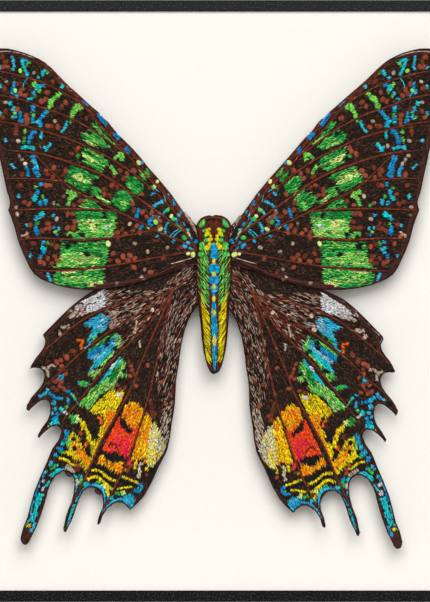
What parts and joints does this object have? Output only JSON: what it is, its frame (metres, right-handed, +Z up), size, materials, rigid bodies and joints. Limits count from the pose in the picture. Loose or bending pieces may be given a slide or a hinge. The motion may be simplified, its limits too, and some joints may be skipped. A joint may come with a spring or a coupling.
{
  "type": "framed embroidered moth",
  "caption": "Square wall frame of thin black section with an off-white board; a stitched, padded moth with corded wing veins floats on short posts in front of it.",
  "frame": {"origin": "middle of the top rail's rear lip, on the wall plane", "axes": "+Z up; +Y into the wall, so the moth faces -Y; +X to the right seen from the front"},
  "size_m": [0.305, 0.0349, 0.305],
  "materials": {
    "frame": "black powder coat with a fine even texture",
    "spring_steel": "blued spring steel strip",
    "zinc_steel": "zinc plated pressed steel",
    "mount_board": "smooth off-white board, matt",
    "backing_board": "kraft faced fibre board",
    "post": "black moulded plastic",
    "body_thread": "padded embroidery in stranded cotton, red-brown ground with green, yellow and blue stitches",
    "wing_thread": "close hand embroidery in stranded cotton, dark brown ground with coloured patches"
  },
  "bodies": {
    "root": {"frame_rail_top": "frame", "bow_spring_top_1": "spring_steel", "bow_spring_top_2": "spring_steel", "frame_rail_right": "frame", "bow_spring_right_1": "spring_steel", "bow_spring_right_2": "spring_steel", "frame_rail_bottom": "frame", "bow_spring_bottom_1": "spring_steel", "bow_spring_bottom_2": "spring_steel", "frame_rail_left": "frame", "bow_spring_left_1": "spring_steel", "bow_spring_left_2": "spring_steel", "corner_plate_top_right": "zinc_steel", "corner_screw_top_right_1": "zinc_steel", "corner_screw_top_right_2": "zinc_steel", "corner_plate_bottom_right": "zinc_steel", "corner_screw_bottom_right_1": "zinc_steel", "corner_screw_bottom_right_2": "zinc_steel", "corner_plate_bottom_left": "zinc_steel", "corner_screw_bottom_left_1": "zinc_steel", "corner_screw_bottom_left_2": "zinc_steel", "corner_plate_top_left": "zinc_steel", "corner_screw_top_left_1": "zinc_steel", "corner_screw_top_left_2": "zinc_steel", "sawtooth_hanger": "zinc_steel", "mount_board": "mount_board", "backing_board": "backing_board", "post_forewing_left_1": "post", "post_forewing_left_2": "post", "post_forewing_left_3": "post", "post_hindwing_left_1": "post", "post_hindwing_left_2": "post", "post_hindwing_left_3": "post", "post_hindwing_left_4": "post", "post_forewing_right_1": "post", "post_forewing_right_2": "post", "post_forewing_right_3": "post", "post_hindwing_right_1": "post", "post_hindwing_right_2": "post", "post_hindwing_right_3": "post", "post_hindwing_right_4": "post", "post_body_1": "post", "post_body_2": "post", "moth_body": "body_thread", "forewing_left": "wing_thread", "hindwing_left": "wing_thread", "forewing_right": "wing_thread", "hindwing_right": "wing_thread"}
  },
  "joints": []
}
